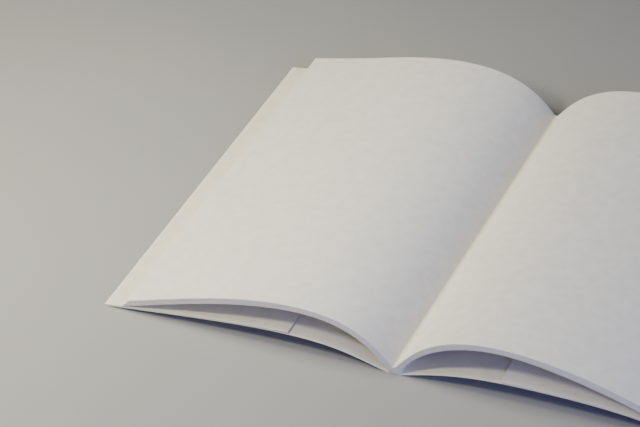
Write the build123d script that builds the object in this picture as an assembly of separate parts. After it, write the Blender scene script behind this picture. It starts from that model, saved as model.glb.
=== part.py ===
from build123d import *

import os
from dataclasses import dataclass
from math import cos, radians, sin

# An open softcover book with a flap folded into each cover, lying face up, opened at its middle.
# X runs across the spread, Y from the foot of the book to its head, and Z up from the table.
# The origin is under the middle of the spine, on the surface that the book lies on.
# The front cover is on the left (-X) and the back cover on the right (+X). Millimetres.

# Leaves: uncoated paper of 100 g/m2
PAGE_WIDTH = 139.7        # one leaf from its glued edge to its fore-edge, laid flat
PAGE_HEIGHT = 215.9       # from foot to head, the same for leaves and cover
LEAF = 0.12
LEAVES_PER_HALF = 24
GUTTER_HEIGHT = 3.0       # where the two middle leaves part, above the table

# Cover: card of 300 g/m2, scored and folded at the spine and at both fore-edges
CARD = 0.35
FOLD_OVERHANG = 0.2       # how much longer a cover panel is than a leaf
FLAP_WIDTH = 91.0         # how far a flap comes back from the fore-edge fold
FLAP_GAP = 0.1            # air between a flap and the panel it is folded onto
SPINE_SLACK = 0.3         # how much wider the spine strip is than the stack of leaves
GLUE = 0.4                # hot-melt film that binds the leaves to the spine strip

# Clearance
REST_GAP = 0.3            # between the lowest leaf's fore-edge and the flap under it

# What follows from these
HALF_THICKNESS = LEAF * LEAVES_PER_HALF
SPINE_WIDTH = 2 * HALF_THICKNESS + SPINE_SLACK
SEAT_HEIGHT = CARD + GLUE                       # the leaves' glued edges stand at this height
COVER_WIDTH = PAGE_WIDTH + FOLD_OVERHANG        # one panel from spine fold to fore-edge fold, laid flat
FOLDED_CARD = 2 * CARD + FLAP_GAP               # a panel with its flap folded onto it

FIT_STEPS = 12            # rounds in which a curve is brought to its length
SAME_PLACE = 1e-6


@dataclass(frozen=True)
class Bend:
    """How a sheet curves from the spine, over its crown, down to its fore-edge."""

    rise: float            # degrees above level where it leaves the spine
    fall: float            # degrees below level at the fore-edge
    crown_at: float        # from the spine's middle to the highest point
    crown_height: float    # of the highest point, above the table
    start: float           # how far the curve follows its direction, as shares of the span it is in:
    before: float          # where it leaves the spine, before the crown,
    after: float           # after the crown,
    end: float             # and at the fore-edge


@dataclass(frozen=True)
class Half:
    """One half of the open book: how its top leaf, its bottom leaf and its cover panel bend."""

    side: int              # -1 on the left, 1 on the right
    top: Bend
    bottom: Bend
    cover: Bend


LEFT_CROWN = 24.4         # height of the left pages' crown
RIGHT_CROWN = 27.0        # height of the right pages' crown

LEFT = Half(
    side=-1,
    top=Bend(48, 17, 46, LEFT_CROWN, 0.20, 0.66, 0.30, 0.42),
    bottom=Bend(57, 17, 46, LEFT_CROWN - HALF_THICKNESS, 0.39, 0.47, 0.28, 0.40),
    cover=Bend(16, 6.6, 52, 8.0, 0.39, 0.50, 0.24, 0.40),
)
RIGHT = Half(
    side=1,
    top=Bend(48, 23, 50, RIGHT_CROWN, 0.20, 0.68, 0.30, 0.36),
    bottom=Bend(68, 23, 50, RIGHT_CROWN - HALF_THICKNESS, 0.27, 0.53, 0.26, 0.32),
    cover=Bend(17.3, 16, 66, 8.8, 0.35, 0.45, 0.50, 0.30),
)


def heading(degrees):
    """Returns the direction that points away from the spine, so many degrees above level."""
    return Vector(cos(radians(degrees)), sin(radians(degrees)))


def bent(bend, side, start, end):
    """Returns the two curves of a bent sheet, from a start at the spine to an end at the fore-edge."""
    crown = Vector(bend.crown_at, bend.crown_height)
    inner_span = bend.crown_at - start.X
    outer_span = end.X - bend.crown_at
    inner = [
        start,
        start + heading(bend.rise) * bend.start * inner_span,
        crown - heading(0) * bend.before * inner_span,
        crown,
    ]
    outer = [
        crown,
        crown + heading(0) * bend.after * outer_span,
        end - heading(-bend.fall) * bend.end * outer_span,
        end,
    ]
    return [Bezier(*[(side * point.X, point.Y) for point in points]) for points in (inner, outer)]


def fitted(build, wanted, run):
    """Adjusts a run until the curves built from it are as long as wanted, and returns the curves."""
    for _ in range(FIT_STEPS):
        run += wanted - sum(curve.length for curve in build(run))
    return build(run)


def place_at(curve, reach):
    """Returns where along a curve, from 0 to 1, it is so far from the spine's middle."""
    near, far = 0.0, 1.0
    while far - near > SAME_PLACE:
        middle = (near + far) / 2
        if abs((curve @ middle).X) < reach:
            near = middle
        else:
            far = middle
    return near


def beyond(curves, reach):
    """Returns what lies further from the spine's middle than a reach, of some curves in a row."""
    places = [(curve, place_at(curve, reach)) for curve in curves]
    return [curve.trim(place, 1) for curve, place in places if place < 1 - SAME_PLACE]


def raised(curves, amount):
    """Returns copies of some curves, moved up."""
    return [Pos(0, amount) * curve for curve in curves]


def extruded(outline):
    """Returns the solid whose section is inside an outline, from the foot of the book to its head."""
    return extrude(Plane.XZ * make_face(outline), amount=PAGE_HEIGHT / 2, both=True)


def panel_curves(half):
    """Returns the outer face of a cover panel, from its spine fold to its fore-edge fold."""
    fold = Vector(SPINE_WIDTH / 2, 0)
    return fitted(
        lambda reach: bent(half.cover, half.side, fold, Vector(reach, 0)),
        COVER_WIDTH,
        COVER_WIDTH,
    )


def cover(half):
    """Returns one cover: a bowed panel, the fold at its fore-edge, and the flap folded back onto it."""
    outer_face = panel_curves(half)
    inner_face = raised(outer_face, CARD)
    reach = abs((outer_face[-1] @ 1).X)
    flap = beyond(outer_face, reach - FLAP_WIDTH)
    flap_under = raised(flap, CARD + FLAP_GAP)
    flap_top = raised(flap, FOLDED_CARD)
    middle = FOLDED_CARD / 2
    outer_fold = ThreePointArc(
        outer_face[-1] @ 1, (half.side * (reach + middle), middle), flap_top[-1] @ 1
    )
    inner_fold = ThreePointArc(
        inner_face[-1] @ 1, (half.side * (reach + FLAP_GAP / 2), middle), flap_under[-1] @ 1
    )
    spine_edge = Line(outer_face[0] @ 0, inner_face[0] @ 0)
    flap_edge = Line(flap_under[0] @ 0, flap_top[0] @ 0)
    lower_edges = [spine_edge, *outer_face, outer_fold]
    upper_edges = [*flap_top, flap_edge, *flap_under, inner_fold, *inner_face]
    return extruded([*lower_edges, *upper_edges])


def rest_height(half, reach):
    """Returns how high a leaf's fore-edge lies where it rests on the cover."""
    outer_face = panel_curves(half)[-1]
    return (outer_face @ place_at(outer_face, reach)).Y + FOLDED_CARD + REST_GAP


def leaf_curves(half):
    """Returns the curves of the bottom leaf and of the top leaf of one half, both of the page's width."""
    root = Vector(HALF_THICKNESS, SEAT_HEIGHT)
    bottom = fitted(
        lambda reach: bent(half.bottom, half.side, root, Vector(reach, rest_height(half, reach))),
        PAGE_WIDTH,
        PAGE_WIDTH,
    )
    fore_edge = bottom[-1] @ 1
    above = Vector(abs(fore_edge.X), fore_edge.Y) + heading(90 - half.bottom.fall) * HALF_THICKNESS
    along = heading(-half.top.fall)
    gutter = Vector(0, GUTTER_HEIGHT)
    top = fitted(
        lambda drawn: bent(half.top, half.side, gutter, above + along * drawn),
        PAGE_WIDTH - (GUTTER_HEIGHT - SEAT_HEIGHT),
        0,
    )
    return bottom, top


def page_block():
    """Returns all the leaves as one solid: two arched halves that meet in the gutter and at the glue."""
    outline = []
    for half in (LEFT, RIGHT):
        bottom, top = leaf_curves(half)
        outline += [*bottom, Line(bottom[-1] @ 1, top[-1] @ 1), *top]
    outline.append(Line((-HALF_THICKNESS, SEAT_HEIGHT), (HALF_THICKNESS, SEAT_HEIGHT)))
    return extruded(outline)


def strip(width, base, thickness):
    """Returns a flat strip along the spine, from the foot of the book to its head."""
    upright = (Align.CENTER, Align.CENTER, Align.MIN)
    return Pos(0, 0, base) * Box(width, PAGE_HEIGHT, thickness, align=upright)


def main():
    """Builds each piece and writes it to a STEP file of its own."""
    nodes = {
        "page_block": page_block(),
        "spine": strip(SPINE_WIDTH, 0, CARD),
        "spine_glue": strip(2 * HALF_THICKNESS, CARD, GLUE),
        "front_cover": cover(LEFT),
        "back_cover": cover(RIGHT),
    }
    os.makedirs("parts", exist_ok=True)
    for name, solid in nodes.items():
        export_step(solid, os.path.join("parts", name + ".step"))
        box = solid.bounding_box()
        across = f"X {box.min.X:.2f} to {box.max.X:.2f}"
        print(f"{name}: {solid.volume:.0f} mm3, {across}, Z {box.min.Z:.2f} to {box.max.Z:.2f}")


if __name__ == "__main__":
    main()
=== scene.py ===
"""An open, blank softcover book with a flap folded into each cover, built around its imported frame.

X runs across the spread (+X to the back cover), Y from the foot of the book to its head, and Z up
from the surface that the book lies on. The origin is under the middle of the spine. Lengths are in
metres.
"""

import logging
from collections.abc import Callable, Mapping, Sequence
from dataclasses import dataclass
from enum import Enum
from itertools import pairwise
from math import cos, exp, pi, radians, sin, tan

import bmesh
import bpy
from bpy.types import Material, Node, NodesModifier, NodeSocket, NodeTree, Object
from mathutils import Matrix, Vector
from mathutils.geometry import interpolate_bezier
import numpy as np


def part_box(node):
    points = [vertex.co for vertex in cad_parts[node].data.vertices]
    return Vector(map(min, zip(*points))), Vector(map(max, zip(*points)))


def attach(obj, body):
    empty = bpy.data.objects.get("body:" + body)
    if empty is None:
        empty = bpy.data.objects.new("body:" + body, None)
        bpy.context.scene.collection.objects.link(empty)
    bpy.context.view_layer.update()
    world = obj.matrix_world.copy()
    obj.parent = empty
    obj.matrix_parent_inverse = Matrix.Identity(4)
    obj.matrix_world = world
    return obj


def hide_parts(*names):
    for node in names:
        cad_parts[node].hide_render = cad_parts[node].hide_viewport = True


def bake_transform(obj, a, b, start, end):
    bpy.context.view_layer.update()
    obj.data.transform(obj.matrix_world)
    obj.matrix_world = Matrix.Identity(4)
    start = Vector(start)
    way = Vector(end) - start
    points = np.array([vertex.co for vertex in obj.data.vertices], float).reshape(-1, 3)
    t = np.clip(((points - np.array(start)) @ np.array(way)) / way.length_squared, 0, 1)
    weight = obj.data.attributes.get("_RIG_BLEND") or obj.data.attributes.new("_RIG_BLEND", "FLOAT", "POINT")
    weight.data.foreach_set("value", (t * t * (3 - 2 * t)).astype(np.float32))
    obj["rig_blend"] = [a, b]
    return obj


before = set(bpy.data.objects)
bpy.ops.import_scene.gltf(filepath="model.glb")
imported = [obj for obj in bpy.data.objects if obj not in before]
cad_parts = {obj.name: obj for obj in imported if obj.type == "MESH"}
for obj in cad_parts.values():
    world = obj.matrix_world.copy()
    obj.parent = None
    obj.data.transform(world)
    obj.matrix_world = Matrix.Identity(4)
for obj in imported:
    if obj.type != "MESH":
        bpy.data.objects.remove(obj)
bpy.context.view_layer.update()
LOG = logging.getLogger("open_book")

MM = 0.001
FINE_STEPS = 96           # points on each of a bend's two curves before they are spaced evenly
FIT_STEPS = 12            # rounds in which a line is brought to its length
BOOK, FRONT, BACK = "book", "front_cover", "back_cover"


class Side(Enum):
    """Which half of the open book a piece is in."""

    LEFT = -1
    RIGHT = 1


# --- lines in the section across the book: x away from the spine, y up ---


def heading(degrees: float) -> Vector:
    """Returns the direction that points away from the spine, so many degrees above level."""
    return Vector((cos(radians(degrees)), sin(radians(degrees))))


def length_of(line: Sequence[Vector]) -> float:
    """Returns how long a line of points is."""
    return sum((b - a).length for a, b in pairwise(line))


def fitted(build: Callable[[float], list[Vector]], wanted: float, run: float) -> list[Vector]:
    """Adjusts a run until the line built from it is as long as wanted.

    Args:
        build: Makes the line for a run.
        wanted: The length that the line has to have.
        run: The first guess.

    Returns:
        The line of the wanted length.
    """
    for _ in range(FIT_STEPS):
        run += wanted - length_of(build(run))
    return build(run)


def spaced(line: Sequence[Vector], steps: int, crowding: float = 1.0) -> list[Vector]:
    """Spaces points along a line, evenly or closer together near its start.

    Args:
        line: The line, as points close together.
        steps: How many stretches to divide it into.
        crowding: 1 for even stretches, and more to crowd the points towards the start.

    Returns:
        One point more than there are stretches, the line's own ends among them.
    """
    whole = length_of(line)
    points, gone = [line[0]], 0.0
    for a, b in pairwise(line):
        run = (b - a).length
        while len(points) < steps:
            wanted = whole * (len(points) / steps) ** crowding
            if wanted > gone + run:
                break
            points.append(a.lerp(b, (wanted - gone) / run))
        gone += run
    return [*points, line[-1]]


def height_at(line: Sequence[Vector], reach: float) -> float:
    """Finds the height of a line at a distance from the spine.

    Args:
        line: The line, as points close together.
        reach: The distance from the spine's middle.

    Returns:
        The height there.
    """
    for a, b in pairwise(line):
        if a.x <= reach <= b.x:
            return a.lerp(b, (reach - a.x) / (b.x - a.x)).y
    return line[-1].y


def smooth(value: float) -> float:
    """Returns a value clamped to 0 and 1 and eased at both ends."""
    share = min(1.0, max(0.0, value))
    return share * share * (3 - 2 * share)


@dataclass(frozen=True)
class Bend:
    """How a sheet curves from the spine, over its crown, down to its fore-edge."""

    rise: float            # degrees above level where it leaves the spine
    fall: float            # degrees below level at the fore-edge
    crown_at: float        # from the spine's middle to the highest point
    crown_height: float    # of the highest point, above the table
    # how far the curve follows its direction at four places, as shares of the span it is in
    start: float           # where it leaves the spine
    before: float          # before the crown
    after: float           # after the crown
    end: float             # at the fore-edge

    def line(self, start: Vector, end: Vector) -> list[Vector]:
        """Draws the bent sheet.

        Args:
            start: Where it begins, at the spine.
            end: Where it ends, at the fore-edge.

        Returns:
            Points close together along it.
        """
        crown = Vector((self.crown_at, self.crown_height))
        inner, outer, level = crown.x - start.x, end.x - crown.x, heading(0)
        rising = interpolate_bezier(
            start,
            start + heading(self.rise) * self.start * inner,
            crown - level * self.before * inner,
            crown,
            FINE_STEPS,
        )
        falling = interpolate_bezier(
            crown,
            crown + level * self.after * outer,
            end - heading(-self.fall) * self.end * outer,
            end,
            FINE_STEPS,
        )
        return [*rising, *falling[1:]]


@dataclass(frozen=True)
class Sizes:
    """The book's main sizes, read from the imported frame."""

    foot: float            # where the leaves and the cover begin along Y
    head: float            # and where they end
    seat: float            # height at which the leaves' glued edges stand
    stack: float           # thickness of one half's leaves
    fold: float            # from the spine's middle to its fold
    card: float            # thickness of the cover card
    leaf_width: float = 139.7 * MM
    panel_width: float = 139.9 * MM
    gutter: float = 3.0 * MM       # where the two middle leaves part, above the table
    flap_width: float = 91.0 * MM
    flap_gap: float = 0.1 * MM
    rest_gap: float = 0.3 * MM     # between the lowest leaf's fore-edge and the flap
    curl: float = 1.1 * MM         # how far from the gutter the middle leaves curl out of it

    @classmethod
    def from_frame(cls) -> "Sizes":
        """Reads the sizes from the frame's spine and glue film.

        Returns:
            The book's sizes.
        """
        spine_low, spine_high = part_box("spine")
        _, glue_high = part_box("spine_glue")
        return cls(
            foot=spine_low.y,
            head=spine_high.y,
            seat=glue_high.z,
            stack=glue_high.x,
            fold=spine_high.x,
            card=spine_high.z - spine_low.z,
        )


@dataclass(frozen=True)
class Half:
    """One half of the open book: how its leaves and its cover panel bend."""

    side: Side
    top: Bend
    bottom: Bend
    cover: Bend
    settle: float          # how far the leaves' fore-edges sink onto the flap at the foot
    lift: float            # how far the top leaf's fore-edge rises at the head
    ease: float            # how much further than the block's the top leaf's fore-edge reaches

    def curl_at(self, sizes: Sizes, reach: float) -> float:
        """Returns how far the curl lifts the top leaf at a distance from the gutter."""
        return tan(radians(self.top.rise)) * sizes.curl / 2 * max(0.0, 1 - reach / sizes.curl) ** 2

    def panel(self, sizes: Sizes) -> list[Vector]:
        """Draws the outer face of the cover panel.

        Args:
            sizes: The book's sizes.

        Returns:
            The points from its spine fold to its fore-edge fold.
        """
        fold = Vector((sizes.fold, 0))
        return fitted(
            lambda reach: self.cover.line(fold, Vector((reach, 0))),
            sizes.panel_width,
            sizes.panel_width,
        )

    def bottom_leaf(self, sizes: Sizes) -> list[Vector]:
        """Draws the underside of the lowest leaf.

        Args:
            sizes: The book's sizes.

        Returns:
            The points from the glue to where it rests on the flap.
        """
        panel = self.panel(sizes)
        rest = 2 * sizes.card + sizes.flap_gap + sizes.rest_gap
        root = Vector((sizes.stack, sizes.seat))
        return fitted(
            lambda reach: self.bottom.line(root, Vector((reach, height_at(panel, reach) + rest))),
            sizes.leaf_width,
            sizes.leaf_width,
        )

    def top_leaf(self, sizes: Sizes) -> list[Vector]:
        """Draws the upper face of the highest leaf.

        Args:
            sizes: The book's sizes.

        Returns:
            The points from the gutter to its fore-edge.
        """
        fore_edge = self.bottom_leaf(sizes)[-1]
        above = fore_edge + heading(90 - self.bottom.fall) * sizes.stack
        gutter = Vector((0, sizes.gutter))
        return fitted(
            lambda drawn: self.top.line(gutter, above + heading(-self.top.fall) * drawn),
            sizes.leaf_width + self.ease - (sizes.gutter - sizes.seat),
            0.0,
        )


# --- node trees and finishes ---

Colour = tuple[float, float, float, float]

# places of the sockets that share their names with others on the same node
MIX_SHARE = 0
VECTOR_A, VECTOR_B, MIXED_VECTOR = 4, 5, 1
COLOUR_A, COLOUR_B, MIXED_COLOUR = 6, 7, 2
RANDOM_LOW, RANDOM_HIGH, RANDOM_NUMBER = 2, 3, 1

CLOUD_EDGES = (0.35, 0.65)     # the noise between which a sheet turns from clear to cloudy


def linear(code: str) -> Colour:
    """Turns an sRGB hex colour into the linear colour that a shader takes.

    Args:
        code: The colour, such as #F4F1EA.

    Returns:
        Its red, green, blue and alpha.
    """

    def decoded(share: float) -> float:
        """Returns a share of full strength without the sRGB curve."""
        return share / 12.92 if share <= 0.04045 else ((share + 0.055) / 1.055) ** 2.4

    red, green, blue = (decoded(int(code[at:at + 2], 16) / 255) for at in (1, 3, 5))
    return red, green, blue, 1.0


def add_node(
    tree: NodeTree,
    kind: str,
    inputs: Mapping[int | str, object] | None = None,
    **settings: object,
) -> Node:
    """Adds a node to a tree, with its settings and what goes into it.

    Args:
        tree: The tree of a material or of a modifier.
        kind: The node's type.
        inputs: A constant or another node's output, for each input by its name or place.
        settings: The node's own settings.

    Returns:
        The new node.
    """
    node = tree.nodes.new(kind)
    for name, value in settings.items():
        setattr(node, name, value)
    for key, value in (inputs or {}).items():
        if isinstance(value, NodeSocket):
            tree.links.new(value, node.inputs[key])
        else:
            node.inputs[key].default_value = value
    return node


def add_maths(tree: NodeTree, operation: str, *values: float | NodeSocket) -> NodeSocket:
    """Returns what a maths node makes of constants or other nodes' outputs."""
    node = add_node(tree, "ShaderNodeMath", dict(enumerate(values)), operation=operation)
    return node.outputs[0]


def add_range(
    tree: NodeTree,
    value: NodeSocket,
    taken: tuple[float, float] = (0.0, 1.0),
    given: tuple[float, float] = (0.0, 1.0),
) -> NodeSocket:
    """Returns a value moved from the range that it is taken in to the range that is given."""
    limits = zip(("From Min", "From Max", "To Min", "To Max"), (*taken, *given), strict=True)
    return add_node(tree, "ShaderNodeMapRange", {"Value": value, **dict(limits)}).outputs[0]


def add_noise(tree: NodeTree, place: NodeSocket, width: float, **inputs: float) -> NodeSocket:
    """Returns noise from 0 to 1 at a place on the object, with patches of a width."""
    inputs = {"Vector": place, "Scale": 1 / width, **inputs}
    return add_node(tree, "ShaderNodeTexNoise", inputs).outputs["Fac"]


def add_mix(
    tree: NodeTree, share: NodeSocket, first: Colour | NodeSocket, second: Colour | NodeSocket
) -> NodeSocket:
    """Returns a mix of two colours, with a share of the second from 0 to 1."""
    inputs = {MIX_SHARE: share, COLOUR_A: first, COLOUR_B: second}
    return add_node(tree, "ShaderNodeMix", inputs, data_type="RGBA").outputs[MIXED_COLOUR]


def add_attribute(tree: NodeTree, name: str) -> NodeSocket:
    """Returns a number that the mesh keeps for each face or point."""
    return add_node(tree, "ShaderNodeAttribute", attribute_name=name).outputs["Fac"]


def add_relief(tree: NodeTree, height: NodeSocket, strength: float, depth: float) -> NodeSocket:
    """Returns which way a surface faces whose height, from 0 to 1, has some depth."""
    inputs = {"Height": height, "Strength": strength, "Distance": depth}
    return add_node(tree, "ShaderNodeBump", inputs).outputs[0]


def add_skin(tree: NodeTree, inputs: Mapping[str, object]) -> None:
    """Adds the surface shader, with its inputs by their names, and the material's output."""
    shader = add_node(tree, "ShaderNodeBsdfPrincipled", inputs)
    add_node(tree, "ShaderNodeOutputMaterial", {"Surface": shader.outputs[0]})


def new_material(name: str) -> tuple[Material, NodeTree, NodeSocket]:
    """Starts a material with a tree that knows only its place on the object.

    Args:
        name: The material's name.

    Returns:
        The material, its tree, and the place on the object.
    """
    material = bpy.data.materials.new(name)
    material.use_nodes = True
    tree = material.node_tree
    tree.nodes.clear()
    return material, tree, add_node(tree, "ShaderNodeTexCoord").outputs["Object"]


@dataclass(frozen=True)
class UncoatedPaper:
    """Woodfree book paper, made on a wire and left uncoated.

    The wire gives it faintly cloudy formation and a soft fibrous skin with no gloss. The edges that
    the guillotine cut are a shade whiter than its faces, and each leaf's has a tone of its own.
    """

    name: str = "woodfree_paper_uncoated"
    clear: str = "#F6F4EF"
    cloudy: str = "#EFECE4"
    cut: str = "#F9F6F4"
    tones: tuple[float, float] = (0.94, 1.0)       # of the darkest and the lightest leaf's cut
    cloud: float = 5.0 * MM        # formation clouds are 4 to 6 mm wide
    fibre: float = 0.5 * MM        # real fibres are 0.03 mm wide: drawn coarser, so that they show
    nap: float = 0.03 * MM         # how high the fibres stand
    roughness: float = 0.9
    gloss: float = 0.25

    def material(self) -> Material:
        """Makes the material.

        Returns:
            The material.
        """
        material, tree, place = new_material(self.name)
        clouds = add_noise(tree, place, self.cloud, Detail=4.0, Roughness=0.55)
        fibres = add_noise(tree, place, self.fibre, Detail=3.0, Distortion=0.8)
        spread = add_range(tree, clouds, CLOUD_EDGES)
        face = add_mix(tree, spread, linear(self.clear), linear(self.cloudy))
        own = add_node(
            tree,
            "ShaderNodeTexWhiteNoise",
            {"W": add_attribute(tree, "leaf")},
            noise_dimensions="1D",
        )
        tone = add_range(tree, own.outputs["Value"], given=self.tones)
        edge = add_node(
            tree,
            "ShaderNodeVectorMath",
            {0: linear(self.cut)[:3], "Scale": tone},
            operation="SCALE",
        )
        skin = {
            "Base Color": add_mix(tree, add_attribute(tree, "cut"), face, edge.outputs[0]),
            "Roughness": self.roughness,
            "Specular IOR Level": self.gloss,
            "Normal": add_relief(tree, fibres, 0.25, self.nap),
        }
        add_skin(tree, skin)
        return material


@dataclass(frozen=True)
class CoverCard:
    """Uncoated cover card, rolled to 0.35 mm, scored and folded by machine.

    It is a shade creamier and smoother than the leaves. Its folds are paler and slightly broken
    up: partly the whitening of the stretched outer fibres, partly a painted highlight on the fold.
    """

    name: str = "cover_card_uncoated"
    clear: str = "#F5F0E1"
    cloudy: str = "#EDE7D5"
    # paler fold colour: partly crease whitening, partly a painted highlight
    fold_white_and_highlight: str = "#FBFAF6"
    cut: str = "#F1EEE6"
    cloud: float = 9.0 * MM
    felt: float = 0.7 * MM         # the felt side's dimples are 0.2 mm apart: drawn coarser
    dimple: float = 0.03 * MM      # how deep the dimples are
    breaks: tuple[float, float] = (0.4, 0.6)       # the dimples between which a fold breaks up
    paleness: tuple[float, float] = (0.4, 1.0)     # of the fold at those two
    roughness: float = 0.85
    gloss: float = 0.3

    def material(self) -> Material:
        """Makes the material.

        Returns:
            The material.
        """
        material, tree, place = new_material(self.name)
        clouds = add_noise(tree, place, self.cloud, Detail=4.0, Roughness=0.6)
        felt = add_noise(tree, place, self.felt, Detail=2.0)
        spread = add_range(tree, clouds, CLOUD_EDGES)
        face = add_mix(tree, spread, linear(self.clear), linear(self.cloudy))
        broken = add_range(tree, felt, self.breaks, self.paleness)
        # the paler band along each fold: painted highlight mixed with real crease whitening
        crease = add_maths(tree, "MULTIPLY", add_attribute(tree, "fold"), broken)
        face_with_pale_fold = add_mix(tree, crease, face, linear(self.fold_white_and_highlight))
        skin = {
            "Base Color": add_mix(tree, add_attribute(tree, "cut"), face_with_pale_fold, linear(self.cut)),
            "Roughness": self.roughness,
            "Specular IOR Level": self.gloss,
            "Normal": add_relief(tree, felt, 0.2, self.dimple),
        }
        add_skin(tree, skin)
        return material


@dataclass(frozen=True)
class HotMelt:
    """Hot-melt binding glue, rolled on molten: creamy, slightly glossy, with slow ripples."""

    name: str = "hot_melt_glue_and_gutter_light"
    # real glue on the spine film; on the gutter bead these pale yellows paint warm reflected light
    body: str = "#F8F3DC"
    thin: str = "#FFFBEA"
    ripple: float = 2.5 * MM
    depth: float = 0.1 * MM        # of the ripples
    roughness: float = 0.35
    ior: float = 1.48

    def material(self) -> Material:
        """Makes the material.

        Returns:
            The material.
        """
        material, tree, place = new_material(self.name)
        ripples = add_noise(tree, place, self.ripple, Detail=1.5)
        skin = {
            "Base Color": add_mix(tree, ripples, linear(self.body), linear(self.thin)),
            "Roughness": self.roughness,
            "IOR": self.ior,
            "Normal": add_relief(tree, ripples, 0.5, self.depth),
        }
        add_skin(tree, skin)
        return material


@dataclass(frozen=True)
class MattFloor:
    """A pale grey sheet of matt studio backing, with only a trace of unevenness."""

    name: str = "matt_backing_sheet"
    light: str = "#A9A9A8"
    dark: str = "#A3A3A2"
    patch: float = 1 / 12          # how wide the uneven patches are
    roughness: float = 0.8
    gloss: float = 0.2

    def material(self) -> Material:
        """Makes the material.

        Returns:
            The material.
        """
        material, tree, place = new_material(self.name)
        patches = add_noise(tree, place, self.patch, Detail=5.0)
        skin = {
            "Base Color": add_mix(tree, patches, linear(self.light), linear(self.dark)),
            "Roughness": self.roughness,
            "Specular IOR Level": self.gloss,
        }
        add_skin(tree, skin)
        return material


# --- sheets ---

Place = Callable[[int, int, int], Vector]


@dataclass(frozen=True)
class Sheet:
    """A closed thin sheet on a grid: a lower and an upper skin, joined by cut edges all round."""

    name: str
    across: int            # stretches away from the spine
    along: int             # stretches from foot to head
    place: Place           # where the point (across, along, skin) is, with skin 0 below and 1 above

    def at(self, i: int, j: int, skin: int) -> int:
        """Returns the number of a point of the grid."""
        return (skin * (self.along + 1) + j) * (self.across + 1) + i

    def points(self) -> list[tuple[int, int, int]]:
        """Lists the grid's points.

        Returns:
            Each point's place (across, along, skin), in the order of their numbers.
        """
        return [
            (i, j, skin)
            for skin in (0, 1)
            for j in range(self.along + 1)
            for i in range(self.across + 1)
        ]

    def mesh_object(self) -> Object:
        """Builds the sheet, with sharp cut edges and a face attribute that marks them.

        Returns:
            The sheet's mesh object.
        """
        n, m = self.across, self.along
        skins = [
            (self.at(i, j, s), self.at(i + 1, j, s), self.at(i + 1, j + 1, s), self.at(i, j + 1, s))
            for s in (0, 1)
            for j in range(m)
            for i in range(n)
        ]
        ends = [
            (self.at(i, j, 0), self.at(i, j, 1), self.at(i + 1, j, 1), self.at(i + 1, j, 0))
            for j in (0, m)
            for i in range(n)
        ]
        sides = [
            (self.at(i, j, 0), self.at(i, j, 1), self.at(i, j + 1, 1), self.at(i, j + 1, 0))
            for i in (0, n)
            for j in range(m)
        ]
        mesh = bpy.data.meshes.new(self.name)
        mesh.from_pydata([self.place(*p) for p in self.points()], [], skins + ends + sides)
        mesh.attributes.new("cut", "FLOAT", "FACE").data.foreach_set(
            "value", [0.0] * len(skins) + [1.0] * (len(ends) + len(sides))
        )
        shell = bmesh.new()
        shell.from_mesh(mesh)
        bmesh.ops.recalc_face_normals(shell, faces=shell.faces)
        cut = shell.faces.layers.float["cut"]
        for face in shell.faces:
            face.smooth = face[cut] == 0.0
        for edge in shell.edges:
            edge.smooth = all(face[cut] == 0.0 for face in edge.link_faces)
        shell.to_mesh(mesh)
        shell.free()
        piece = bpy.data.objects.new(self.name, mesh)
        bpy.context.scene.collection.objects.link(piece)
        return piece


def store(piece: Object, name: str, values: Sequence[float | Vector]) -> None:
    """Keeps one value or vector for each point of a mesh.

    Args:
        piece: The mesh object.
        name: The attribute's name.
        values: One for each point, in the points' order.
    """
    if isinstance(values[0], Vector):
        attribute = piece.data.attributes.new(name, "FLOAT_VECTOR", "POINT")
        attribute.data.foreach_set("vector", [c for value in values for c in value])
    else:
        attribute = piece.data.attributes.new(name, "FLOAT", "POINT")
        attribute.data.foreach_set("value", values)


def report(piece: Object) -> None:
    """Logs a finished piece's name, faces and size.

    Args:
        piece: The piece's mesh object.
    """
    low, high = (Vector(piece.bound_box[k]) for k in (0, 6))
    size = " x ".join(f"{side / MM:.1f}" for side in high - low)
    LOG.info("%s: %d faces, %s mm", piece.name, len(piece.data.polygons), size)


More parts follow.
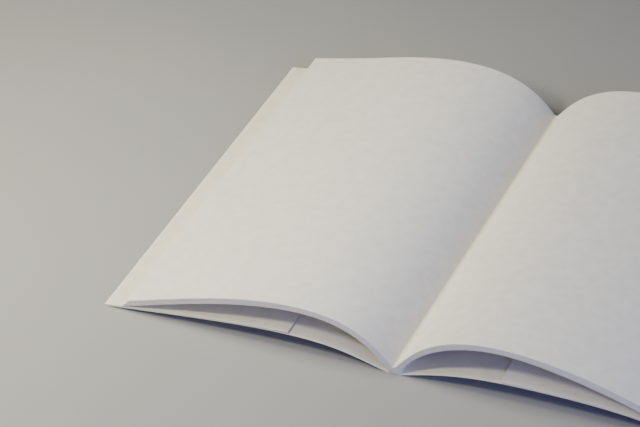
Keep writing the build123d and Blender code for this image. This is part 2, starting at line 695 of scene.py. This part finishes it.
@dataclass(frozen=True)
class Leaves:
    """One half of the pages: a stack of bent leaves, glued at the spine."""

    name: str
    half: Half
    sizes: Sizes
    paper: Material
    count: int = 24
    root_steps: int = 3            # along the part of a leaf between the glue and the gutter
    bend_steps: int = 72
    crowding: float = 1.5          # how much closer the points are near the spine, for the curl
    along_steps: int = 12
    fill: float = 0.88             # share of a leaf's room in the stack that its thickness takes
    stray_from: float = 0.56       # share of the way from crown to fore-edge where leaves stray
    stray_power: float = 1.5       # how late on that way the top leaf rises
    scatter: float = 0.10 * MM     # how unevenly the leaves' edges lie
    scatter_power: int = 4         # how near the fore-edge the unevenness stays
    ripple: float = 0.15 * MM      # how far the top leaf strays from its curve
    waves: float = 18.0            # how close together those ripples are, to the metre
    seed: int = 7

    def rows(self) -> tuple[list[Vector], list[Vector]]:
        """Draws the lowest and the highest leaf with the same number of points.

        Returns:
            The two leaves' points, from the glue to the fore-edge.
        """
        sizes, crowding = self.sizes, self.crowding
        low_root, high_root = Vector((sizes.stack, sizes.seat)), Vector((0, sizes.seat))
        low = spaced(self.half.bottom_leaf(sizes), self.bend_steps, crowding)
        sharp = spaced(self.half.top_leaf(sizes), self.bend_steps, crowding)
        high = [point + Vector((0, self.half.curl_at(sizes, point.x))) for point in sharp]
        roots = [high_root.lerp(high[0], k / self.root_steps) for k in range(self.root_steps)]
        return [low_root] * self.root_steps + low, roots + high

    def pattern_leaf(self) -> Object:
        """Builds the first leaf, whose points know their places in the lowest and highest leaf.

        Returns:
            The first leaf's mesh object.
        """
        sizes, half, side = self.sizes, self.half, self.half.side.value
        low_row, high_row = self.rows()
        crown = half.top.crown_at
        span = high_row[-1].x - crown

        def raise_by(point: Vector, v: float, share: float) -> float:
            """Finds how far a point strays up from its leaf's curve.

            Args:
                point: The point, on the curve.
                v: Its share of the way from foot to head.
                share: 0 for the lowest leaf and 1 for the highest.

            Returns:
                How much higher it lies, below zero where the leaves settle.
            """
            out = max(0.0, ((point.x - crown) / span - self.stray_from) / (1 - self.stray_from))
            rising = share * half.lift * v * out**self.stray_power
            return rising - half.settle * (1 - v) * smooth(out)

        def placed(row: Sequence[Vector], share: float, i: int, j: int) -> Vector:
            """Finds where a point of a row is in the book.

            Args:
                row: The points of the lowest or of the highest leaf.
                share: 0 for the lowest leaf and 1 for the highest.
                i: The point's number in the row.
                j: Its number from foot to head.

            Returns:
                Its place.
            """
            v = j / self.along_steps
            y = sizes.foot + (sizes.head - sizes.foot) * v
            point = row[i]
            return Vector((side * point.x, y, point.y + raise_by(point, v, share)))

        def place(i: int, j: int, skin: int) -> Vector:
            """Returns where a point of the first leaf is."""
            low, high = placed(low_row, 0.0, i, j), placed(high_row, 1.0, i, j)
            return low.lerp(high, skin * self.fill / self.count)

        sheet = Sheet(self.name, self.root_steps + self.bend_steps, self.along_steps, place)
        piece, points = sheet.mesh_object(), sheet.points()
        away = heading(-half.top.fall)
        store(piece, "low", [placed(low_row, 0.0, i, j) for i, j, _ in points])
        store(piece, "high", [placed(high_row, 1.0, i, j) for i, j, _ in points])
        store(piece, "skin", [float(skin) for _, _, skin in points])
        outs = [(i / sheet.across) ** self.scatter_power for i, _, _ in points]
        store(piece, "out", outs)
        store(piece, "away", [Vector((side * away.x, 0, away.y)) for _ in points])
        return piece

    def stacking(self) -> NodeTree:
        """Makes the tree that stacks copies of the first leaf, from the lowest to the highest.

        Returns:
            The tree, for a modifier on the first leaf.
        """
        tree = bpy.data.node_groups.new(f"{self.name}_stacking", "GeometryNodeTree")
        face = tree.interface
        face.new_socket(name="Geometry", in_out="INPUT", socket_type="NodeSocketGeometry")
        for name, kind in (
            ("Leaves", "NodeSocketInt"),
            ("Fill", "NodeSocketFloat"),
            ("Scatter", "NodeSocketFloat"),
            ("Ripple", "NodeSocketFloat"),
            ("Waves", "NodeSocketFloat"),
            ("Seed", "NodeSocketInt"),
            ("Paper", "NodeSocketMaterial"),
        ):
            face.new_socket(name=name, in_out="INPUT", socket_type=kind)
        face.new_socket(name="Geometry", in_out="OUTPUT", socket_type="NodeSocketGeometry")
        given = add_node(tree, "NodeGroupInput").outputs

        # copies of the first leaf, each with its number
        whole = add_node(tree, "GeometryNodeGeometryToInstance", {0: given["Geometry"]})
        copies = add_node(
            tree,
            "GeometryNodeDuplicateElements",
            {"Geometry": whole.outputs[0], "Amount": given["Leaves"]},
            domain="INSTANCE",
        )
        numbered = add_node(
            tree,
            "GeometryNodeStoreNamedAttribute",
            {"Geometry": copies.outputs[0], "Name": "leaf", "Value": copies.outputs[1]},
            data_type="FLOAT",
            domain="INSTANCE",
        )
        loose = add_node(tree, "GeometryNodeRealizeInstances", {0: numbered.outputs[0]})

        known = {
            name: add_node(
                tree, "GeometryNodeInputNamedAttribute", {"Name": name}, data_type=kind
            ).outputs[0]
            for name, kind in (
                ("leaf", "FLOAT"),
                ("skin", "FLOAT"),
                ("out", "FLOAT"),
                ("low", "FLOAT_VECTOR"),
                ("high", "FLOAT_VECTOR"),
                ("away", "FLOAT_VECTOR"),
            )
        }

        def drawn(low: float, high: float | NodeSocket, seed: NodeSocket) -> NodeSocket:
            """Adds a node that draws a number for each leaf.

            Args:
                low: The least that it draws.
                high: The most that it draws.
                seed: What the draws start from.

            Returns:
                The number.
            """
            inputs = {RANDOM_LOW: low, RANDOM_HIGH: high, "ID": known["leaf"], "Seed": seed}
            node = add_node(tree, "FunctionNodeRandomValue", inputs, data_type="FLOAT")
            return node.outputs[RANDOM_NUMBER]

        # each leaf's room between the lowest and the highest, and where in it the leaf lies
        slack = add_maths(tree, "SUBTRACT", 1.0, given["Fill"])
        play = drawn(0.0, slack, given["Seed"])
        raised = add_maths(tree, "MULTIPLY_ADD", known["skin"], given["Fill"], play)
        level = add_maths(tree, "ADD", known["leaf"], raised)
        share = add_maths(tree, "DIVIDE", level, given["Leaves"])
        bent = add_node(
            tree,
            "ShaderNodeMix",
            {MIX_SHARE: share, VECTOR_A: known["low"], VECTOR_B: known["high"]},
            data_type="VECTOR",
            clamp_factor=False,
        ).outputs[MIXED_VECTOR]

        # how far its edges stray from the stack's, outwards and along the spine
        next_seed = add_maths(tree, "ADD", given["Seed"], 1.0)
        reach = add_maths(tree, "MULTIPLY", drawn(-1.0, 1.0, next_seed), given["Scatter"])
        ends = add_maths(tree, "MULTIPLY", reach, known["out"])
        trimmed = add_node(
            tree, "ShaderNodeVectorMath", {0: known["away"], "Scale": ends}, operation="SCALE"
        )
        shifted = add_node(tree, "ShaderNodeCombineXYZ", {"Y": reach})

        # ripples, which grow towards the top leaf
        waves = add_node(
            tree,
            "ShaderNodeTexNoise",
            {"Vector": bent, "Scale": given["Waves"], "Detail": 1.0},
            noise_dimensions="3D",
        )
        centred = add_maths(tree, "SUBTRACT", waves.outputs[0], 0.5)
        strength = add_maths(tree, "MULTIPLY", given["Ripple"], share)
        up = add_node(
            tree, "ShaderNodeCombineXYZ", {"Z": add_maths(tree, "MULTIPLY", centred, strength)}
        )

        moved = bent
        for part in (trimmed, shifted, up):
            moved = add_node(
                tree, "ShaderNodeVectorMath", {0: moved, 1: part.outputs[0]}, operation="ADD"
            ).outputs[0]
        stacked = add_node(
            tree, "GeometryNodeSetPosition", {"Geometry": loose.outputs[0], "Position": moved}
        )
        real = add_node(tree, "GeometryNodeRealizeInstances", {0: stacked.outputs[0]})
        dressed = add_node(
            tree,
            "GeometryNodeSetMaterial",
            {"Geometry": real.outputs[0], "Material": given["Paper"]},
        )
        add_node(tree, "NodeGroupOutput", {0: dressed.outputs[0]})
        return tree

    def build(self) -> Object:
        """Builds the stack and lets it ride with the book.

        Returns:
            The stack's mesh object.
        """
        piece = self.pattern_leaf()
        stacking = piece.modifiers.new("stacking", "NODES")
        stacking.node_group = self.stacking()
        inputs = {
            "Leaves": self.count,
            "Fill": self.fill,
            "Scatter": self.scatter,
            "Ripple": self.ripple,
            "Waves": self.waves,
            "Seed": self.seed,
            "Paper": self.paper,
        }
        piece = converted(piece, stacking, inputs)
        for name in ("low", "high", "away", "skin", "out"):
            piece.data.attributes.remove(piece.data.attributes[name])
        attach(piece, BOOK)
        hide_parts("page_block")
        report(piece)
        return piece


def converted(piece: Object, modifier: NodesModifier, inputs: Mapping[str, object]) -> Object:
    """Gives a modifier its inputs, and turns what it makes into the piece's own plain mesh.

    Args:
        piece: The object that has the modifier.
        modifier: The modifier, with its tree.
        inputs: A value for each of the tree's inputs, by name.

    Returns:
        The same object, without the modifier.
    """
    for item in modifier.node_group.interface.items_tree:
        if item.in_out == "INPUT" and item.name in inputs:
            modifier[item.identifier] = inputs[item.name]
    graph = bpy.context.evaluated_depsgraph_get()
    mesh = bpy.data.meshes.new_from_object(
        piece.evaluated_get(graph), preserve_all_data_layers=True, depsgraph=graph
    )
    piece.modifiers.clear()
    piece.data = mesh
    return piece


@dataclass(frozen=True)
class Spine:
    """The cover card's strip under the leaves, a little arched, and the glue film on it."""

    sizes: Sizes
    card: Material
    glue: Material
    arch: float = 0.30 * MM        # how far the strip's middle stands off the table
    margin: float = 0.6 * MM       # between the strip's cut in the model and the fold of the card
    bead: tuple[float, float] = (-0.4 * MM, 0.7 * MM)      # the sides of the bead in the gutter
    bead_depth: float = 0.3 * MM
    bead_length: float = 0.998     # share of the spine's length that the bead runs along
    swell: float = 0.10 * MM       # how far the bead's middle stands above its sides
    unevenness: float = 0.03 * MM  # how much that varies along the gutter
    wave: float = 3.1 * MM         # and over what length, for one radian
    bead_steps: int = 6
    bead_along: int = 72
    creep: float = 0.1 * MM        # how far the film reaches past the leaves at each side
    soak: float = 0.02 * MM        # how far it rises between the leaves
    droop: float = 0.12 * MM       # how much lower it is at its sides
    shoulder: float = 0.5 * MM     # how far in from the leaves' sides it begins to droop
    shoulder_width: float = 0.6 * MM       # and over what width
    short: float = 0.15 * MM       # how far it stops from the spine's ends
    ragged: float = 0.1 * MM       # how much that varies across the spine
    rag_turn: float = 2.3          # radians from one point of a ragged end to the next
    steps: int = 24
    along_steps: int = 24

    @property
    def reach(self) -> float:
        """From the spine's middle to where a cover's card takes over."""
        return self.sizes.fold - self.margin

    def rise(self, x: float) -> float:
        """Returns the height of the card's outer face at a distance from the spine's middle."""
        return self.arch * max(0.0, 1 - (x / self.sizes.fold) ** 2)

    def y_at(self, share: float) -> float:
        """Returns how far along Y a share of the spine's length is."""
        return self.sizes.foot + (self.sizes.head - self.sizes.foot) * share

    def build_strip(self) -> Object:
        """Builds the arched strip of card.

        Returns:
            The strip's mesh object.
        """

        def place(i: int, j: int, skin: int) -> Vector:
            """Returns where a point of the strip is."""
            x, y = self.reach * (2 * i / self.steps - 1), self.y_at(j / self.along_steps)
            return Vector((x, y, self.rise(x) + skin * self.sizes.card))

        strip = Sheet("spine_strip", self.steps, self.along_steps, place).mesh_object()
        strip.data.materials.append(self.card)
        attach(strip, BOOK)
        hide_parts("spine")
        report(strip)
        return strip

    def build_gutter_light_bead(self, half: Half) -> Object:
        """Builds a pale glue bead in the gutter: painted warm light reflected between the pages.

        Args:
            half: The half whose top leaf sets how steeply the gutter opens.

        Returns:
            The bead's mesh object.
        """
        sizes = self.sizes
        low, high = self.bead

        def brim(x: float) -> float:
            """Returns the height of the middle leaves' faces beside the gutter."""
            return sizes.gutter + tan(radians(half.top.rise)) * abs(x) + half.curl_at(sizes, abs(x))

        def place(i: int, j: int, skin: int) -> Vector:
            """Finds where a point of the bead is.

            Args:
                i: The point's number across the gutter.
                j: Its number from foot to head.
                skin: 0 for the bead's underside and 1 for its top.

            Returns:
                Its place.
            """
            share, y = i / self.bead_steps, self.y_at(j / self.bead_along) * self.bead_length
            swell = (self.swell + self.unevenness * sin(y / self.wave)) * sin(pi * share)
            top = brim(low) + (brim(high) - brim(low)) * share + swell
            return Vector((low + (high - low) * share, y, top - (1 - skin) * self.bead_depth))

        # the bead's pale yellow paints the warm reflected light along the gutter
        bead = Sheet("gutter_light_bead", self.bead_steps, self.bead_along, place).mesh_object()
        bead.data.materials.append(self.glue)
        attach(bead, BOOK)
        report(bead)
        return bead

    def build_glue(self) -> Object:
        """Builds the glue film, with the small bead that creeps out at each side of the leaves.

        Returns:
            The film's mesh object.
        """
        half_width = self.sizes.stack + self.creep

        def place(i: int, j: int, skin: int) -> Vector:
            """Finds where a point of the film is.

            Args:
                i: The point's number across the spine.
                j: Its number from foot to head.
                skin: 0 for the film's underside and 1 for its top.

            Returns:
                Its place.
            """
            x = half_width * (2 * i / self.steps - 1)
            y = self.y_at(j / self.along_steps)
            if j in (0, self.along_steps):
                y -= (self.short + self.ragged * sin(self.rag_turn * i)) * (1 if j else -1)
            outer = smooth((abs(x) - self.sizes.stack + self.shoulder) / self.shoulder_width)
            top = self.sizes.seat + self.soak - self.droop * outer
            return Vector((x, y, top if skin else self.rise(x) + self.sizes.card))

        film = Sheet("glue_film", self.steps, self.along_steps, place).mesh_object()
        film.data.materials.append(self.glue)
        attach(film, BOOK)
        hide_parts("spine_glue")
        report(film)
        return film


@dataclass(frozen=True)
class Cover:
    """One cover: a bowed panel, the fold at its fore-edge, and the flap folded back onto it."""

    name: str
    node: str              # the CAD node, and the body, that it stands for
    half: Half
    sizes: Sizes
    spine: Spine
    card: Material
    flap_lift: float = 0.45 * MM   # how far the flap's free edge springs up
    spring: float = 30.0 * MM      # how much of the flap springs
    pressed: float = 0.0           # share of the lift that is missing at the foot
    pressed_over: float = 0.04     # share of the book's height over which that wears off
    wave: float = 0.25             # share of the lift that comes and goes from foot to head
    wave_start: float = 0.6        # radians into that wave at the foot
    # the paler band along a fold is partly crease whitening, partly a painted highlight
    crease: float = 1.3 * MM       # width of the paler band along a fold
    edge_room: float = 0.2 * MM    # around the flap's free edge, where no other point lies
    hinge_steps: int = 6
    panel_steps: int = 90
    fold_steps: int = 10
    along_steps: int = 24

    def path(self) -> tuple[list[Vector], list[float], list[float]]:
        """Draws the middle of the card, from beside the spine, out and round the fold, and back.

        Returns:
            The points, how much each one springs up with the flap, and how near it is to a fold.
        """
        sizes, spine = self.sizes, self.spine
        middle = Vector((0, sizes.card / 2))
        panel = spaced(self.half.panel(sizes), self.panel_steps)
        hinge = [
            Vector((x, spine.rise(x)))
            for x in (
                spine.reach + spine.margin * k / self.hinge_steps for k in range(self.hinge_steps)
            )
        ]
        outward = [point + middle for point in (*hinge, *panel)]
        radius = (sizes.card + sizes.flap_gap) / 2
        centre = outward[-1] + Vector((0, radius))
        turns = (pi * k / self.fold_steps - pi / 2 for k in range(1, self.fold_steps))
        fold = [centre + Vector((cos(turn), sin(turn))) * radius for turn in turns]
        reach = panel[-1].x
        flap_edge = reach - sizes.flap_width
        flap = [Vector((flap_edge, height_at(panel, flap_edge)))]
        flap += [point for point in panel if point.x > flap_edge + self.edge_room]
        inward = [point + middle + Vector((0, 2 * radius)) for point in reversed(flap)]
        points = outward + fold + inward
        flat = len(outward) + len(fold)
        spring = [
            0.0 if k < flat else max(0.0, 1 - (point.x - flap_edge) / self.spring) ** 2
            for k, point in enumerate(points)
        ]
        # nearness to a fold, for its paler band: partly painted highlight
        creases = (sizes.fold, reach + radius)
        near = [max(exp(-(((p.x - x) / self.crease) ** 2)) for x in creases) for p in points]
        return points, spring, near

    def build(self) -> Object:
        """Builds the cover and lets it turn at its spine fold.

        Returns:
            The cover's mesh object.
        """
        sizes, side = self.sizes, self.half.side.value
        points, spring, near = self.path()
        last = len(points) - 1

        def place(i: int, j: int, skin: int) -> Vector:
            """Finds where a point of the card is.

            Args:
                i: The point's number along the path.
                j: Its number from foot to head.
                skin: 0 for the card's outer face and 1 for its inner face.

            Returns:
                Its place.
            """
            before, after = points[max(0, i - 1)], points[min(last, i + 1)]
            run = (after - before).normalized()
            point = points[i] + Vector((-run.y, run.x)) * sizes.card * (skin - 0.5)
            v = j / self.along_steps
            wave = 1 - self.wave + self.wave * cos(2 * pi * v + self.wave_start)
            pressed = self.pressed * exp(-v / self.pressed_over)
            lift = self.flap_lift * spring[i] * wave * (1 - pressed)
            y = sizes.foot + (sizes.head - sizes.foot) * v
            return Vector((side * point.x, y, max(0.0, point.y + lift)))

        sheet = Sheet(self.name, last, self.along_steps, place)
        piece = sheet.mesh_object()
        store(piece, "fold", [near[i] for i, _, _ in sheet.points()])
        piece.data.materials.append(self.card)
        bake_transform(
            piece,
            BOOK,
            self.node,
            start=(side * (sizes.fold - 0.05 * MM), 0, 0),
            end=(side * (sizes.fold + 0.9 * MM), 0, 0),
        )
        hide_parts(self.node)
        report(piece)
        return piece


# --- studio ---


@dataclass(frozen=True)
class Softbox:
    """A square light that points at the book."""

    name: str
    azimuth: float         # degrees, 0 in front of the book's foot and 90 on its right
    elevation: float
    distance: float
    size: float
    power: float
    tint: str

    def build(self, aim: Vector) -> Object:
        """Hangs the light.

        Args:
            aim: The point that it faces.

        Returns:
            The light object.
        """
        turn, tilt = radians(self.azimuth), radians(self.elevation)
        away = Vector((sin(turn) * cos(tilt), -cos(turn) * cos(tilt), sin(tilt)))
        data = bpy.data.lights.new(self.name, "AREA")
        data.shape, data.size = "SQUARE", self.size
        data.energy = self.power
        data.color = linear(self.tint)[:3]
        light = bpy.data.objects.new(self.name, data)
        light.location = aim + away * self.distance
        light.rotation_mode = "QUATERNION"
        light.rotation_quaternion = (-away).to_track_quat("-Z", "Y")
        bpy.context.scene.collection.objects.link(light)
        return light


@dataclass(frozen=True)
class Studio:
    """A plain pale floor, the camera, and soft light, warm from the left, cool from the right."""

    aim: Vector = Vector((-0.0785, -0.0060, 0.0))      # where the camera and the lights point
    azimuth: float = 24.17         # of the camera, in degrees, measured as for a softbox
    elevation: float = 34.92
    roll: float = -2.0
    distance: float = 1.4164
    lens: float = 168.0            # focal length in millimetres
    clip: tuple[float, float] = (0.05, 30.0)       # nearest and furthest that the camera sees
    floor_size: float = 8.0
    floor_steps: int = 16
    sky: str = "#E2E8F6"
    sky_strength: float = 0.13
    softboxes: tuple[Softbox, ...] = (
        Softbox("key_softbox", -72, 56, 0.43, 0.20, 2.2, "#FFF8DF"),
        Softbox("front_softbox", -34, 45, 0.56, 0.08, 1.5, "#FFFAE0"),
        Softbox("fill_softbox", 78, 20, 1.2, 0.55, 4.7, "#E3ECFC"),
        Softbox("cool_softbox", 44, 27, 1.2, 0.24, 3.0, "#4C66FF"),
    )

    def build_floor(self, sheet: Material) -> Object:
        """Lays the floor under the book.

        Args:
            sheet: The floor's material.

        Returns:
            The floor's mesh object.
        """
        steps, size = self.floor_steps, self.floor_size
        stops = [size * (k / steps - 0.5) for k in range(steps + 1)]
        width = steps + 1
        faces = [
            (i + j * width, i + 1 + j * width, i + 1 + (j + 1) * width, i + (j + 1) * width)
            for j in range(steps)
            for i in range(steps)
        ]
        mesh = bpy.data.meshes.new("floor")
        mesh.from_pydata([(x, y, 0.0) for y in stops for x in stops], [], faces)
        mesh.materials.append(sheet)
        floor = bpy.data.objects.new("floor", mesh)
        bpy.context.scene.collection.objects.link(floor)
        return floor

    def build_light(self) -> None:
        """Sets the sky's colour and hangs the softboxes."""
        world = bpy.data.worlds.new("studio_sky")
        world.use_nodes = True
        world.node_tree.nodes.clear()
        sky = add_node(
            world.node_tree,
            "ShaderNodeBackground",
            {"Color": linear(self.sky), "Strength": self.sky_strength},
        )
        add_node(world.node_tree, "ShaderNodeOutputWorld", {"Surface": sky.outputs[0]})
        bpy.context.scene.world = world
        for softbox in self.softboxes:
            softbox.build(self.aim)

    def build_camera(self) -> Object:
        """Places the camera and makes it the scene's own.

        Returns:
            The camera object.
        """
        turn, tilt, roll = (radians(a) for a in (self.azimuth, self.elevation, self.roll))
        ahead = Vector((-sin(turn) * cos(tilt), cos(turn) * cos(tilt), -sin(tilt)))
        right = ahead.cross(Vector((0, 0, 1))).normalized()
        up = right.cross(ahead)
        rolled_right = right * cos(roll) + up * sin(roll)
        rolled_up = up * cos(roll) - right * sin(roll)
        data = bpy.data.cameras.new("camera")
        data.lens = self.lens
        data.clip_start, data.clip_end = self.clip
        camera = bpy.data.objects.new("camera", data)
        axes = Matrix((rolled_right, rolled_up, -ahead)).transposed()
        camera.matrix_world = Matrix.Translation(self.aim - ahead * self.distance) @ axes.to_4x4()
        bpy.context.scene.collection.objects.link(camera)
        bpy.context.scene.camera = camera
        return camera


LEFT = Half(
    side=Side.LEFT,
    top=Bend(48, 17, 46 * MM, 24.4 * MM, 0.20, 0.66, 0.30, 0.42),
    bottom=Bend(57, 17, 46 * MM, 21.52 * MM, 0.39, 0.47, 0.28, 0.40),
    cover=Bend(16, 6.6, 52 * MM, 8.0 * MM, 0.39, 0.50, 0.24, 0.40),
    settle=0.25 * MM,
    lift=2.6 * MM,
    ease=0.7 * MM,
)
RIGHT = Half(
    side=Side.RIGHT,
    top=Bend(48, 23, 50 * MM, 27.0 * MM, 0.20, 0.68, 0.30, 0.36),
    bottom=Bend(68, 23, 50 * MM, 24.12 * MM, 0.27, 0.53, 0.26, 0.32),
    cover=Bend(17.3, 16, 66 * MM, 8.8 * MM, 0.35, 0.45, 0.50, 0.30),
    settle=0.2 * MM,
    lift=0.4 * MM,
    ease=0.0,
)


def main() -> None:
    """Builds the studio and every piece of the book."""
    logging.basicConfig(level=logging.INFO, format="%(name)s: %(message)s")
    studio = Studio()
    studio.build_camera()
    studio.build_light()
    studio.build_floor(MattFloor().material())

    sizes = Sizes.from_frame()
    paper, card, glue = UncoatedPaper().material(), CoverCard().material(), HotMelt().material()
    Leaves("left_pages", LEFT, sizes, paper, seed=7).build()
    Leaves("right_pages", RIGHT, sizes, paper, seed=19).build()
    spine = Spine(sizes, card, glue)
    spine.build_strip()
    spine.build_glue()
    spine.build_gutter_light_bead(RIGHT)
    Cover("front_cover_card", FRONT, LEFT, sizes, spine, card).build()
    Cover(
        "back_cover_card",
        BACK,
        RIGHT,
        sizes,
        spine,
        card,
        flap_lift=2.0 * MM,
        spring=20.0 * MM,
        pressed=0.85,
    ).build()


if __name__ == "__main__":
    main()
